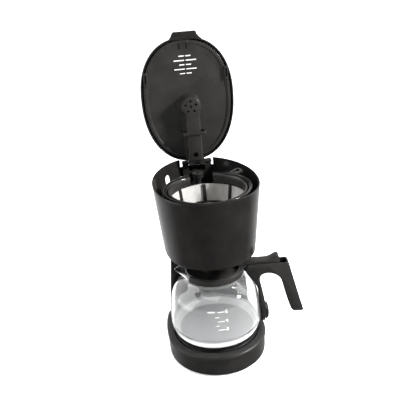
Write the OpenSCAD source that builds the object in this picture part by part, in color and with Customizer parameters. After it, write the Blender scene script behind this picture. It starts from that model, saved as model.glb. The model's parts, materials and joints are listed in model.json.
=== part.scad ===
// Drip coffee maker: a plinth with a hot plate, a rear column, an egg-shaped drum that holds
// the water and the brew basket, a hinged lid with the spout arm, and a glass carafe.
// Frame: origin on the table under the carafe's axis, +Z up, front of the machine towards -Y.

/* [Drum] */
// Width of the drum at its rim
drum_w = 150; // [144:1:156]
// Front of the drum's rim, ahead of the widest line
drum_front = 93.5; // [92:0.5:95]
// Back of the drum's rim, behind the widest line
drum_back = 107.7; // [106:0.5:110]
// Height of the drum's rim above the table
rim_z = 268.6; // [268:0.2:269]
// Height of the drum's lower edge
drum_z = 167.5; // [167:0.5:169]
// Size of the drum's lower edge against its rim
drum_taper = 0.882; // [0.88:0.002:0.89]
// Thickness of the drum's wall
drum_wall = 2; // [1.8:0.1:2.2]

/* [Plinth] */
// Half width of the plinth at the table
plinth_a = 73.4; // [72:0.2:75]
// Front of the plinth ahead of its widest line
plinth_front = 77.6; // [76:0.2:79]
// Back of the plinth behind its widest line
plinth_back = 115.7; // [113:0.5:118]
// Height of the step between the plinth and the plate ring
plinth_z = 27; // [26:0.5:28]
// Height of the plate ring's top
ring_z = 34.2; // [33.8:0.1:34.4]
// Radius of the opening in the plate ring
ring_r = 65.1; // [64:0.1:66]

/* [Lid] */
// Opening angle of the lid
lid_open = 95.1; // [0:0.1:100]
// Distance of the lid hinge behind the carafe's axis
hinge_y = 118; // [117.5:0.5:118.5]
// Height of the lid hinge
hinge_z = 263.6; // [263.4:0.1:263.8]
// Half width of the lid
lid_a = 71.2; // [70.5:0.1:71.4]
// Height of the lid's dome
lid_h = 15; // [14:1:18]

/* [Carafe] */
// Turn of the carafe about its axis, seen from above
carafe_turn = -8; // [-12:1:0]
// Largest radius of the glass
glass_r = 67.5; // [67:0.1:68]
// Thickness of the glass
glass_wall = 2.2; // [1.8:0.1:2.6]
// Radius of the glass neck
neck_r = 42.4; // [42:0.1:43]
// Half width of the carafe's handle
handle_hw = 10; // [9.8:0.1:11]

/* [Brewing] */
// Radius of the basket's rim
basket_r = 62; // [61.5:0.1:62.2]
// Height of the basket's rim
basket_z = 265; // [264.8:0.1:265.2]
// Number of ribs in the coffee filter
filter_ribs = 8; // [6:1:12]

/* [Hidden] */
$fn = 96;
eps = 0.02;
plan_steps = 72;
blacks = "#2f2d2c";
satin = "#3a3837";
steel = "#c9cbcc";
rubber = "#1d1d1d";
drum_a = drum_w / 2;
drum_y = 20;
drum_nf = 2.27;
drum_nb = 1.97;
plinth_y = 2.3;
plinth_n = 2.4;
column_top_a = 54;
column_low_a = 65.5;
bay_r = 69;
bay_well_r = 56.5;
ceiling_z = 180.4;
liner_r = 59.4;
liner_z = 262.7;
lid_z = 267.6;
lid_front = 88.6;
lid_back = 98.5;
lid_y = hinge_y - 100.5;
arm_x = 1.2;
shank_x = 2.6;
hinge_x = 4;
clip_x = 3.4;
arm_z = lid_z - 16;
arm_head_y = hinge_y - 88;
arm_root_y = hinge_y - 5;
panel_z = lid_z + 3;
lug_hw = 12.4;
lever_hw = 8;
lever_cut = 44.6;
slot_hw = 8.4;
screw_r = 1.5;
plate_z = 34.4;
glass_z = 35;
neck_z = 128;
mouth_z = 139.5;
lever_hinge = 46.5;
lever_hinge_z = 141.5;
spout_turn = 180;
riser_y = 104;
cold_x = -26;
cold_y = 74;
mesh_z = 250;
tank_z = ceiling_z + 2.2;
riser_gap = hinge_y - 4.02 - riser_y;
notch_z = 247;

// ---------- outlines and helpers ----------
function spow(v, p) = sign(v) * pow(abs(v), p);
function egg(a, f, b, nf, nb, cy, steps = plan_steps) = [for (i = [0:steps - 1])
    let (t = 360 * (i + 0.5) / steps, n = sin(t) < 0 ? nf : nb)
    [a * spow(cos(t), 2 / n), cy + (sin(t) < 0 ? f : b) * spow(sin(t), 2 / n)]];
function drum_k(z) = 1 - (1 - drum_taper) * (rim_z - z) / (rim_z - drum_z);
function column_a(z) = column_low_a + (column_top_a - column_low_a) * (z - plinth_z) / (drum_z - plinth_z);

module slab(z, h = eps) {
    translate([0, 0, z]) linear_extrude(h) children();
}

module drum_plan(z, inset = 0) {
    k = drum_k(z);
    polygon(egg(drum_a * k - inset, drum_front * k - inset, drum_back * k - inset,
        drum_nf, drum_nb, drum_y));
}

module drum_solid(z0, z1, inset = 0) {
    hull() {
        slab(z0) drum_plan(z0, inset);
        slab(z1 - eps) drum_plan(z1, inset);
    }
}

module plinth_plan(inset = 0) {
    polygon(egg(plinth_a - inset, plinth_front - inset, plinth_back - inset,
        2.03, plinth_n, plinth_y));
}

module lid_plan(inset = 0) {
    polygon(egg(lid_a - inset, lid_front - inset, lid_back - inset, 2.3, 2.23, lid_y));
}

module column_plan(z, a, inset = 0) {
    back = plinth_y + plinth_back - 3 * (z - plinth_z) / (drum_z - plinth_z);
    intersection() {
        polygon(egg(a - inset, 60, back - 40 - inset, 2, 2.5, 40));
        translate([-100, 42 + inset]) square([200, 100]);
    }
}

module column_solid(inset = 0) {
    hull() {
        slab(plinth_z + eps) column_plan(plinth_z, column_low_a, inset);
        slab(drum_z - 2 * eps) column_plan(drum_z, column_top_a, inset);
    }
}

module lid_pose() {
    translate([0, hinge_y, hinge_z]) rotate([-lid_open, 0, 0])
        translate([0, -hinge_y, -hinge_z]) children();
}

module carafe_pose() {
    rotate([0, 0, carafe_turn]) children();
}

module tube_ring(r_out, r_in, h) {
    difference() {
        cylinder(r = r_out, h = h);
        translate([0, 0, -1]) cylinder(r = r_in, h = h + 2);
    }
}

// ---------- plinth ----------
module base_shell() {
    color(satin) difference() {
        hull() {
            slab(1.6) plinth_plan(0.6);
            slab(4) plinth_plan(0);
            slab(plinth_z - eps) plinth_plan(0.3);
        }
        slab(0, plinth_z - 2.4) plinth_plan(2.6);
        translate([0, 0, 10]) cylinder(r = ring_r + 1, h = 30);
        translate([20, 72, 10]) cube([16, 24, 30]);
        translate([cold_x, cold_y, 10]) cylinder(r = 4.7, h = 30);
        translate([shank_x, riser_y, 10]) cylinder(r = 5.2, h = 30);
        switch_place() cube([20, 16.2, 20.2], center = true);
        gland_place() cylinder(r = 5.05, h = 24, center = true);
    }
    color(satin) for (p = foot_places()) translate([p[0], p[1], 4.2])
        tube_ring(4, screw_r + 0.05, plinth_z - (p[1] < 0 ? 12 : 6.4));
}

module plate_ring() {
    color(satin) difference() {
        hull() {
            slab(plinth_z + eps) ring_plan(-1.4);
            slab(plinth_z + 2.2) ring_plan(-1.5);
            slab(plinth_z + 4.6) ring_plan(0.2);
            slab(ring_z - 0.8) ring_plan(3.4);
            slab(ring_z - eps) ring_plan(5.6);
        }
        translate([0, 0, plinth_z + 2]) cylinder(r = ring_r, h = 20);
        translate([0, 0, plinth_z - 3]) cylinder(r = 52, h = 20);
        hull() {
            slab(plinth_z - 1) ring_plan(4);
            slab(plinth_z + 2.6) ring_plan(7);
        }
        difference() {
            column_solid(-0.1);
            cylinder(r = bay_r - 0.1, h = 100);
        }
    }
    color(satin) translate([0, 0, plinth_z + 0.4]) tube_ring(ring_r + 1.2, 52, 1.8);
}

module ring_plan(inset) {
    intersection() {
        plinth_plan(inset);
        translate([-100, -100]) square([200, 168 - inset]);
    }
}

module bottom_cover() {
    color(rubber) difference() {
        slab(1.6, 2.2) plinth_plan(2.9);
        for (p = foot_places()) translate([p[0], p[1], 0]) cylinder(r = 2.1, h = 10);
        for (i = [-3:3]) translate([i * 9 - 1.6, 36, 0]) cube([3.2, 28, 8]);
    }
}

function foot_places() = [for (sx = [-1, 1]) for (y = [-44, 92]) [sx * 44, y]];

module rubber_feet() {
    color(rubber) {
        for (p = foot_places()) translate([p[0], p[1], 0]) difference() {
            cylinder(r1 = 6.6, r2 = 7.5, h = 1.6);
            translate([0, 0, -1]) cylinder(r = 3.6, h = 4);
        }
        cylinder(r1 = 8.6, r2 = 9.5, h = 1.6);
    }
}

module base_screws() {
    color(steel) for (p = foot_places()) translate([p[0], p[1], 0]) {
        translate([0, 0, 0.4]) cylinder(r = 3.4, h = 1.15);
        translate([0, 0, 1]) cylinder(r = screw_r, h = 11);
    }
}

module hot_plate() {
    color("#4a4a4a") rotate_extrude() polygon([[0, plate_z - 1.4], [50, plate_z - 1.4],
        [52, plate_z - 2.2], [60.6, plate_z - 2.2], [60.6, plate_z - 4.6], [62, plate_z - 4.6],
        [62, plate_z - 1.6], [61, plate_z - 0.7], [53, plate_z - 0.7], [51, plate_z],
        [0, plate_z]]);
}

module plate_gasket() {
    color("#7a2a20") translate([0, 0, plinth_z + 2.22]) tube_ring(60.4, 57.4, 2.96);
}

module heater_tube() {
    color("#9a9c9e") translate([0, 0, plate_z - 6.1]) {
        rotate([0, 0, 140]) rotate_extrude(angle = 260) translate([38, 0]) circle(r = 4.6, $fn = 40);
        rotate([0, 0, 140]) rotate_extrude(angle = 260) translate([38, -8.4]) circle(r = 4, $fn = 40);
        for (s = [-1, 1]) rotate([0, 0, 90 + s * 50]) translate([38, 0, -8.4])
            rotate([s * 90, 0, 0]) cylinder(r = 4, h = 16, $fn = 40);
    }
}

module thermostat() {
    color("#d8d4c8") {
        translate([14, -4, plate_z - 9.6]) cylinder(r = 8, h = 8.18);
        translate([3, -8, plate_z - 10.8]) cube([22, 8, 1.4]);
        for (s = [-1, 1]) translate([14 + s * 8, -6.5, plate_z - 17.2]) cube([0.8, 5, 6.5]);
    }
}

module thermal_fuse() {
    color("#b59a4a") translate([-16, 0, plate_z - 3.62]) rotate([90, 0, 0]) {
        cylinder(r = 2.2, h = 14, center = true);
        cylinder(r = 0.6, h = 34, center = true, $fn = 24);
    }
}

module valve_body() {
    color("#e4e2dc") translate([cold_x, cold_y, 9]) difference() {
        union() {
            cylinder(r = 7, h = 14);
            translate([0, 0, 14]) cylinder(r = 4.2, h = 6);
            translate([0, 0, -3.6]) cylinder(r = 4.2, h = 3.7);
        }
        translate([0, 0, 3]) cylinder(r = 5.2, h = 8);
        translate([0, 0, -5]) cylinder(r = 2.4, h = 9);
        translate([0, 0, 10]) cylinder(r = 2.4, h = 12);
    }
}

module check_ball() {
    color(steel) translate([cold_x, cold_y, 14.72]) sphere(r = 3.6, $fn = 48);
}

module cold_tube() {
    color("#d9d6cf") translate([cold_x, cold_y, 29.02]) tube_ring(4.6, 2.8, 151);
}

module riser_tube() {
    color("#d9d6cf") translate([shank_x, riser_y, 20]) tube_ring(4.6, 2.8, 164);
}

module tube_clamps() {
    color(steel) {
        for (z = [30.5, 172]) translate([cold_x, cold_y, z]) clamp_ring();
        for (z = [36, 172]) translate([shank_x, riser_y, z]) clamp_ring();
    }
}

module clamp_ring() {
    tube_ring(5.6, 4.6, 5);
    translate([5.5, -1.4, 0]) cube([4, 2.8, 5]);
}

// ---------- column and drum ----------
module column_shell() {
    color(satin) difference() {
        column_solid();
        column_hollow();
        translate([0, 0, -10]) cylinder(r = bay_r, h = 300);
    }
    color(satin) difference() {
        intersection() {
            column_solid(0.2);
            translate([0, 0, plinth_z + 0.5]) cylinder(r = bay_r + 2.4, h = drum_z - plinth_z - 1);
        }
        translate([0, 0, -10]) cylinder(r = bay_r, h = 300);
    }
}

module column_hollow() {
    difference() {
        hull() {
            slab(plinth_z - 1) column_plan(plinth_z, column_low_a, 2.4);
            slab(drum_z + 1) column_plan(drum_z, column_top_a, 2.4);
        }
        translate([0, 0, -10]) cylinder(r = bay_r + 2.4, h = 300);
    }
}

module underside_cover() {
    color(satin) {
        difference() {
            slab(drum_z - eps, 2 + 2 * eps) drum_plan(drum_z, drum_wall + 0.1);
            translate([0, 0, drum_z - 2]) cylinder(r = bay_well_r, h = 8);
            slab(drum_z - 2, 8) difference() {
                column_plan(drum_z, column_top_a, 5);
                circle(r = bay_r + 3);
            }
        }
        translate([0, 0, drum_z + 1]) tube_ring(bay_well_r + 2, bay_well_r, ceiling_z - drum_z);
        difference() {
            slab(ceiling_z, 2) drum_plan(ceiling_z, drum_wall + 0.1);
            translate([0, 0, ceiling_z - 1]) cylinder(r = 14, h = 8);
            translate([cold_x, cold_y, ceiling_z - 1]) cylinder(r = 5.4, h = 8);
            translate([shank_x, riser_y, ceiling_z - 1]) cylinder(r = 5.4, h = 8);
        }
        underside_flare();
    }
}

// Wedge-shaped skirt between the drum's lower edge and the column
module underside_flare() {
    low = drum_z - 18;
    difference() {
        hull() {
            slab(drum_z - eps) flare_plan(drum_z, 0.6, 3);
            slab(low) column_plan(low, column_a(low) + 3);
        }
        hull() {
            slab(drum_z - 1.6) flare_plan(drum_z, 3.2, 4);
            slab(low - eps) column_plan(low, column_a(low) + 0.3, -0.1);
        }
        translate([0, 0, 100]) cylinder(r = bay_well_r + 1, h = 100);
        column_solid(-0.1);
    }
}

module flare_plan(z, inset, y0) {
    intersection() {
        drum_plan(z, inset);
        translate([-100, y0]) square(200);
    }
}

module drum_shell() {
    color(blacks) difference() {
        drum_solid(drum_z, rim_z);
        hull() {
            slab(drum_z - 1) drum_plan(drum_z - 1, drum_wall);
            slab(rim_z + 1) drum_plan(rim_z + 1, drum_wall);
        }
        overflow_slot();
        translate([hinge_x - 26, 100, 257]) cube([52, 40, 20]);
    }
}

module overflow_slot() {
    translate([-44, 98, 244]) rotate([0, 0, 52]) rotate([90, 0, 0])
        linear_extrude(30, center = true) union() {
            translate([-6.5, -12]) square([13, 15]);
            translate([0, 3]) circle(r = 6.5, $fn = 40);
        }
}

module brew_liner() {
    color(blacks) difference() {
        union() {
            translate([0, 0, tank_z]) tube_ring(liner_r + 1.8, liner_r, liner_z - tank_z);
            translate([0, 0, tank_z]) tube_ring(liner_r + 0.2, 14, 1.8);
        }
        arm_notch();
    }
}

module arm_notch() {
    translate([-17, 30, notch_z]) cube([35, 60, 40]);
}

module tank_floor() {
    color(blacks) {
        difference() {
            slab(tank_z, 2) drum_plan(tank_z, drum_wall + 0.05);
            translate([0, 0, ceiling_z]) cylinder(r = liner_r + 1.85, h = 10);
            translate([cold_x, cold_y, ceiling_z]) cylinder(r = 2, h = 10);
            translate([shank_x, riser_y, ceiling_z]) cylinder(r = 4.65, h = 10);
        }
        translate([cold_x, cold_y, tank_z - 14]) tube_ring(2.75, 1.8, 14.4);
    }
}

module riser_port() {
    color(blacks) translate([shank_x, riser_y, 0]) {
        translate([0, 0, tank_z + 2 + eps]) tube_ring(6.5, 2.8, 2);
        translate([0, 0, tank_z + 3]) tube_ring(4.6, 2.8, 58);
        translate([0, 0, tank_z + 60]) tube_ring(8.4, 2.8, arm_z - tank_z - 61.4);
        translate([-3, 8, tank_z + 58]) cube([6, riser_gap - 8, 6]);
    }
}

module hinge_bracket() {
    color(blacks) {
        intersection() {
            union() {
                translate([hinge_x - 22.6, hinge_y - 4, 226]) cube([45.2, 20, 24]);
                for (s = [-1, 1]) translate([hinge_x + s * 17.9 - 4.7, hinge_y - 4, 240]) cube([9.4, 5.6, 20]);
            }
            drum_solid(drum_z, rim_z, drum_wall + 0.03);
        }
        for (s = [-1, 1]) translate([hinge_x + s * 17.9, hinge_y, 0]) difference() {
            translate([0, 0, hinge_z]) rotate([0, 90, 0])
                cylinder(r = 3.8, h = 9.4, center = true, $fn = 48);
            translate([0, 0, hinge_z]) rotate([0, 90, 0])
                cylinder(r = 2, h = 12, center = true, $fn = 48);
        }
    }
}

module hinge_pin() {
    color(steel) translate([hinge_x, hinge_y, hinge_z]) rotate([0, 90, 0]) {
        cylinder(r = 1.99, h = 46, center = true, $fn = 48);
        translate([0, 0, 22.8]) cylinder(r = 3, h = 1.2, $fn = 48);
    }
}

// ---------- switch and cord outlet ----------
module switch_place() {
    translate([plinth_a - 5.6, 34, 14.6]) children();
}

module gland_place() {
    translate([-34, 109, 13]) rotate([-90, 0, 0]) children();
}

module switch_body() {
    color(rubber) switch_place() {
        difference() {
            union() {
                translate([-6, 0, 0]) cube([14, 13, 18], center = true);
                translate([3.4, 0, 0]) cube([5, 16, 20], center = true);
            }
            translate([2.4, 0, 0]) cube([12, 10.4, 16.4], center = true);
        }
        translate([3, 0, 0]) rotate([90, 0, 0]) cylinder(r = 1.14, h = 11, center = true, $fn = 32);
    }
}

module switch_rocker() {
    color("#8e1f1a") switch_place() translate([3, 0, 0]) rotate([0, -6, 0]) difference() {
        intersection() {
            translate([-27, 0, 0]) rotate([90, 0, 0]) cylinder(r = 32, h = 9.6, center = true);
            translate([2, 0, 0]) cube([9, 9.6, 14.8], center = true);
        }
        rotate([90, 0, 0]) cylinder(r = 1.2, h = 20, center = true, $fn = 32);
    }
}

module cord_gland() {
    color(rubber) gland_place() difference() {
        union() {
            cylinder(r = 5, h = 12, center = true);
            translate([0, 0, 4.8]) cylinder(r1 = 7, r2 = 6, h = 2.4);
        }
        cylinder(r = 3.1, h = 20, center = true);
    }
}

// ---------- lid ----------
module lid_dome(inset, top) {
    hull() {
        slab(lid_z) lid_plan(inset + 0.5);
        slab(lid_z + 1) lid_plan(inset);
        slab(lid_z + 4.5) lid_plan(inset + 0.4);
        slab(lid_z + top * 0.62) lid_plan(inset + 4.5);
        slab(lid_z + top * 0.88) lid_plan(inset + 12);
        slab(lid_z + top - eps) lid_plan(inset + 24);
    }
}

module lid_shell() {
    color(blacks) lid_pose() {
        difference() {
            lid_dome(0, lid_h);
            translate([0, 0, -2]) lid_dome(2, lid_h);
            steam_slots();
            lid_heel_cut();
            translate([hinge_x - lug_hw - eps, hinge_y - 4.9 - eps, lid_z - 2])
                cube([2 * lug_hw + 2 * eps, 12, 5]);
        }
        finger_tab();
    }
}

module lid_heel_cut() {
    translate([-60, hinge_y - 6, lid_z + 4.5]) cube([120, 20, 30]);
}

module finger_tab() {
    hull() {
        slab(lid_z + 1.4, 1.8) translate([-20.5, lid_y - lid_front + 2.4]) square([46, 2]);
        slab(lid_z + 1.4, 1.8) translate([-13.5, lid_y - lid_front - 8]) square([32, 2]);
    }
}

module steam_slots() {
    for (i = [0:4]) {
        w = i % 2 == 0 ? 19.8 : 36;
        y = hinge_y - 136.8 - i * 6.45;
        translate([1.4 - w / 2, y, lid_z - 5]) cube([w / 2 - 0.5, 2.3, 40]);
        translate([1.9, y, lid_z - 5]) cube([w / 2 - 0.5, 2.3, 40]);
    }
}

module lid_liner() {
    color(satin) lid_pose() {
        difference() {
            liner_ring();
            steam_slots();
        }
        lid_ribs();
        lid_clips();
        for (sx = [-1, 1]) for (sy = [-1, 1]) translate([sx * 30, lid_y + sy * 40, panel_z])
            cylinder(r = 3, h = lid_h - 5.04, $fn = 32);
    }
}

module liner_ring() {
    difference() {
        slab(lid_z + 1.2, 3) lid_plan(4.6);
        slab(lid_z - 1, 3.6) lid_plan(9.4);
        hull() {
            slab(lid_z) panel_plan(10);
            slab(panel_z - eps) panel_plan(12);
        }
    }
}

module panel_plan(inset) {
    polygon(egg(lid_a - inset, lid_front - inset - 8, lid_back - inset, 2.2, 2.23, lid_y));
}

module lid_ribs() {
    for (x = [-6, 5]) translate([x, hinge_y - 184, lid_z + 0.6]) cube([1.4, 11, 2.8]);
}

module lid_clips() {
    intersection() {
        for (s = [-1, 1]) translate([s * (lid_a - 9.4) - 3, hinge_y - 142, lid_z - 1.2]) difference() {
            cube([6, 20, 5]);
            translate([1.6, 4, -1]) cube([2.8, 12, 3.4]);
        }
        slab(lid_z - 2, 8) lid_plan(4.2);
    }
}

// Hinge barrel and the block round the arm's water inlet
module lid_lug() {
    color(blacks) lid_pose() difference() {
        union() {
            translate([hinge_x, hinge_y, hinge_z]) rotate([0, 90, 0])
                cylinder(r = 4, h = 2 * lug_hw, center = true, $fn = 48);
            translate([hinge_x - lug_hw, hinge_y - 4.9, hinge_z - 10.4]) cube([2 * lug_hw, 7.2, 7.6]);
            translate([hinge_x - lug_hw, hinge_y - 4.9, hinge_z - 4]) cube([2 * lug_hw, 3, 10.9]);
        }
        translate([hinge_x, hinge_y, hinge_z]) rotate([0, 90, 0])
            cylinder(r = 2.06, h = 40, center = true, $fn = 48);
        translate([hinge_x - 4, hinge_y - 1.9, hinge_z - 12]) cube([8, 10, 7.4]);
    }
}

// Trough with flared walls: its open side faces the shower plate
module spout_arm() {
    color(blacks) lid_pose() difference() {
        union() {
            hull() {
                slab(panel_z - eps) arm_head(18.6);
                slab(arm_z + 1.52) arm_head(14.4);
            }
            hull() {
                slab(panel_z - eps) arm_shank(14.6);
                slab(arm_z + 1.52) arm_shank(10);
            }
        }
        hull() {
            slab(lid_z + 0.8) arm_head(16.4);
            slab(arm_z + 1.5) arm_head(12.6);
        }
        hull() {
            slab(lid_z + 0.8) arm_shank(12.8, 2);
            slab(arm_z + 1.5) arm_shank(8.2, 2);
        }
        slab(lid_z + 0.7, 10) arm_head(16.4);
        slab(lid_z + 0.7, 10) arm_shank(12.8, 2);
        liner_ring();
        slab(arm_z, 40) difference() {
            translate([-60, hinge_y - 20]) square([120, 40]);
            lid_plan(2.6);
        }
    }
}

module arm_head(r) {
    translate([arm_x, arm_head_y]) circle(r = r, $fn = 48);
}

module arm_shank(w, end = 0) {
    translate([shank_x - w, arm_head_y]) square([2 * w, arm_root_y - end - arm_head_y]);
}

module shower_plate() {
    color(blacks) lid_pose() difference() {
        union() {
            slab(arm_z - 0.2, 1.7) arm_head(14.4);
            slab(arm_z - 0.2, 1.7) arm_shank(10);
        }
        translate([arm_x, arm_head_y, arm_z - 5]) cylinder(r = 1.75, h = 10, $fn = 32);
        for (i = [0:4]) translate([arm_x, arm_head_y, arm_z - 5]) rotate([0, 0, -90 + 72 * i])
            translate([8.2, 0, 0]) cylinder(r = 1.75, h = 10, $fn = 32);
        translate([shank_x, riser_y, arm_z - 5]) cylinder(r = 4, h = 10, $fn = 32);
    }
}

module arm_clip() {
    color(blacks) lid_pose() translate([clip_x, hinge_y - 47, 0]) {
        translate([-16.9, -2.6, arm_z - 2.2]) cube([33.8, 5.2, 1.9]);
        for (s = [-1, 1]) translate([s * 16.2 - 0.7, -2.6, arm_z - 2.2]) cube([1.4, 5.2, panel_z - arm_z + 2.18]);
    }
}

// ---------- brew basket ----------
module filter_basket() {
    color(blacks) {
        difference() {
            union() {
                rotate_extrude() polygon([[56, basket_z], [basket_r, basket_z],
                    [basket_r, basket_z - 2], [57.9, basket_z - 2], [52.5, 216], [50, 213],
                    [11.4, 203.4], [9, 202], [9, 184], [7.2, 184], [7.2, 198], [4.4, 198],
                    [4.4, 199.6], [7.2, 199.6], [9.6, 204.8], [49, 214.8], [50.6, 217]]);
                basket_tab();
            }
            arm_notch();
        }
        for (a = [45:90:315]) rotate([0, 0, a]) translate([28, -1, 211.4]) cube([19, 2, 9.2]);
    }
}

module basket_tab() {
    slab(basket_z - 1.6, 2.8) difference() {
        hull() {
            for (p = [[45, 45], [56, 55], [57, 48]]) translate(p) circle(r = 4, $fn = 24);
            rotate([0, 0, 45]) translate([58, -13]) square([3, 26]);
        }
        circle(r = 57);
        hull() for (p = [[49.5, 48], [55.6, 54], [56, 49]]) translate(p) circle(r = 1.8, $fn = 24);
    }
}

module outlet_guide() {
    color(blacks) {
        translate([0, 0, 184.2]) tube_ring(3.4, 2.06, 4);
        translate([0, 0, 184.2]) tube_ring(7.15, 5.6, 4);
        for (a = [0:120:240]) rotate([0, 0, a]) translate([3.1, -0.8, 184.2]) cube([2.8, 1.6, 4]);
    }
}

module drip_valve() {
    color("#55504c") {
        translate([0, 0, 171]) cylinder(r = 2, h = 30, $fn = 48);
        translate([0, 0, 200.1]) cylinder(r = 6.2, h = 1.8, $fn = 48);
        translate([0, 0, 170]) cylinder(r = 6.4, h = 2.4, $fn = 48);
        translate([0, 0, 163]) cylinder(r1 = 2.6, r2 = 3.4, h = 7.5, $fn = 48);
    }
}

module valve_seal() {
    color("#b4482f") translate([0, 0, 199.7]) tube_ring(6, 2.02, 0.38);
}

module valve_spring() {
    turns = 5;
    z0 = 172.84;
    rise = 10.94;
    color(steel) for (i = [0:turns - 1]) translate([0, 0, z0 + rise * i / (turns - 1)])
        rotate_extrude() translate([4.2, 0]) circle(r = 0.4, $fn = 16);
}

// ---------- coffee filter ----------
module filter_frame() {
    color(blacks) {
        difference() {
            rotate_extrude() polygon([[52.6, 262.6], [55.2, 262.6], [53.6, mesh_z], [52, mesh_z]]);
            arm_notch();
        }
        translate([0, 0, 222.54]) tube_ring(48.4, 45.8, 2.4);
        for (i = [0:filter_ribs - 1]) rotate([0, 0, -3.5 + 360 * i / filter_ribs]) filter_rib();
        translate([0, 0, 221]) tube_ring(49.2, 45, 1.06);
        for (a = [20, 110]) rotate([0, 0, a]) translate([-46, -1.4, 221]) cube([92, 2.8, 1.06]);
    }
}

module filter_rib() {
    rotate([90, 0, 0]) linear_extrude(4.8, center = true)
        polygon([[52.7, mesh_z + eps], [51, mesh_z + eps], [46.9, 222.6], [48.6, 222.6]]);
}

module filter_mesh() {
    color("#b9b7b2") rotate_extrude() polygon([[52.8, mesh_z - eps], [53.2, mesh_z - eps],
        [49.1, 222.1], [0, 222.1], [0, 222.5], [48.7, 222.5]]);
}

// ---------- carafe ----------
function glass_profile() = [[54, glass_z], [58.2, 36.6], [61.4, 39.6], [63.8, 43.4],
    [65.6, 47.5], [66.9, 52], [glass_r, 57], [67.3, 65], [66.7, 74], [65.9, 83], [64.9, 92],
    [63.4, 100], [60.4, 107.2], [56.2, 112.8], [51.2, 117.2], [46.6, 120.6], [44.1, 122.8],
    [43, 125], [neck_r, neck_z]];

function inward(p, t) = [for (i = [0:len(p) - 1])
    let (a = p[max(i - 1, 0)], b = p[min(i + 1, len(p) - 1)], d = b - a, n = norm(d))
    [p[i][0] - t * d[1] / n, p[i][1] + t * d[0] / n]];

module carafe_glass() {
    outer = glass_profile();
    inner = [for (p = inward(outer, glass_wall)) [p[0], max(p[1], glass_z + 3.6)]];
    n = len(inner);
    color([0.85, 0.9, 0.92, 0.35]) carafe_pose() {
        rotate_extrude($fn = 128) polygon(concat([[0, glass_z + 1]], [[50, glass_z + 0.6]], outer,
            [for (i = [0:n - 1]) inner[n - 1 - i]], [[0, glass_z + 4.6]]));
        difference() {
            spout_solid(0);
            spout_solid(glass_wall);
        }
    }
}

module spout_solid(t) {
    hull() {
        slab(neck_z - 0.6 - (t > 0 ? 0.4 : 0)) circle(r = neck_r - t);
        slab(mouth_z + (t > 0 ? 0.2 : 0)) {
            circle(r = neck_r - t);
            rotate([0, 0, spout_turn]) translate([49.5, 0]) circle(r = 8 - t, $fn = 40);
        }
    }
}

module collar_band() {
    color(blacks) carafe_pose() difference() {
        rotate([0, 0, spout_turn + 38]) rotate_extrude(angle = 284)
            polygon([[neck_r + eps, 130.6], [neck_r + 2.4, 130.6], [neck_r + 3, 132],
                [neck_r + 3, 139.2], [neck_r + 2.4, 140.4], [neck_r + eps, 140.4]]);
        translate([neck_r - 1, -slot_hw, 136.5]) cube([9, 2 * slot_hw, 8]);
        spout_solid(0);
    }
}

function handle_outline() = [[54, 119.5], [58.8, 113], [62.6, 106.5], [65.4, 96], [66.6, 82],
    [67.2, 66], [66.6, 48], [68, 45.6], [74, 45.8], [75.4, 60], [75.2, 71], [73.8, 84],
    [71.2, 99], [68.4, 113], [68.2, 118.5], [70, 123], [74.8, 125.9], [81.5, 126.3],
    [88.2, 124.4], [94.5, 120.6], [99, 114.6], [103, 100.5], [107, 84], [112.6, 66],
    [115.4, 60.4], [119.4, 58.4], [128.6, 58], [131.8, 58.8], [132.4, 61.4], [126.4, 82.4],
    [120.5, 105], [115, 125.8], [112.4, 137], [110.8, 140.6], [107.5, 142], [54.8, 142],
    [50.6, 140.8], [48.6, 138], [47.6, 131.4], [50.6, 125]];

module carafe_handle() {
    color(blacks) carafe_pose() difference() {
        union() {
            rotate([90, 0, 0]) linear_extrude(2 * handle_hw, center = true) polygon(handle_outline());
            rotate([90, 0, 0]) linear_extrude(2 * handle_hw, center = true)
                polygon([[46, 131.5], [52, 131.5], [52, 139.8], [46, 139.8]]);
        }
        rotate([90, 0, 0]) linear_extrude(2 * slot_hw, center = true) polygon([[43, 141],
            [49.5, 139.6], [100, 120.6], [104.5, 120.6], [106.5, 112], [112, 112],
            [109.4, 140.4], [106, 150], [43, 150]]);
        rotate_extrude($fn = 128) polygon(handle_clear());
        translate([lever_hinge, 0, lever_hinge_z - 1]) cube([7.6, 2 * slot_hw, 8], center = true);
        lever_axis() cylinder(r = 1.25, h = 60, center = true, $fn = 32);
        translate([72, 0, 58]) rotate([0, 90, 0]) cylinder(r = 4.2, h = 20, $fn = 40);
    }
}

function handle_clear() = concat([[0, 30], [20, 30]],
    [for (p = glass_profile()) [p[0] + 0.5, p[1]]],
    [[neck_r + 0.5, 130.5], [neck_r + 3 + eps, 130.5], [neck_r + 3 + eps, 150], [0, 150]]);

module handle_cap() {
    color(blacks) carafe_pose() translate([74.6, 0, 58]) rotate([0, 90, 0]) {
        cylinder(r = 4.1, h = 2, center = true, $fn = 40);
        intersection() {
            translate([0, 0, 0.9]) cylinder(r1 = 13.4, r2 = 11.6, h = 4.6);
            cube([27, 2 * handle_hw - 0.6, 30], center = true);
        }
    }
}

module lever_pin() {
    color(steel) carafe_pose() lever_axis()
        cylinder(r = 1.2, h = 2 * handle_hw - 0.8, center = true, $fn = 32);
}

module carafe_lid() {
    color(blacks) carafe_pose() {
        rotate_extrude() polygon([[0, 138], [10, 138], [12.4, 143.6], [15.6, 144], [16.4, 143],
            [15.4, 136.6], [36.6, 135.6], [38.2, 136.6], [38.6, 139.6], [39.6, 139.6],
            [39.6, 134.2], [37.6, 133.6], [0, 133.6]]);
        difference() {
            translate([36.6, -lever_hw, 136.8]) cube([lever_cut - 36.6, 2 * lever_hw, 6]);
            translate([39.05, -10, 130]) cube([10.6, 20, 10.1]);
        }
    }
}

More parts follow.
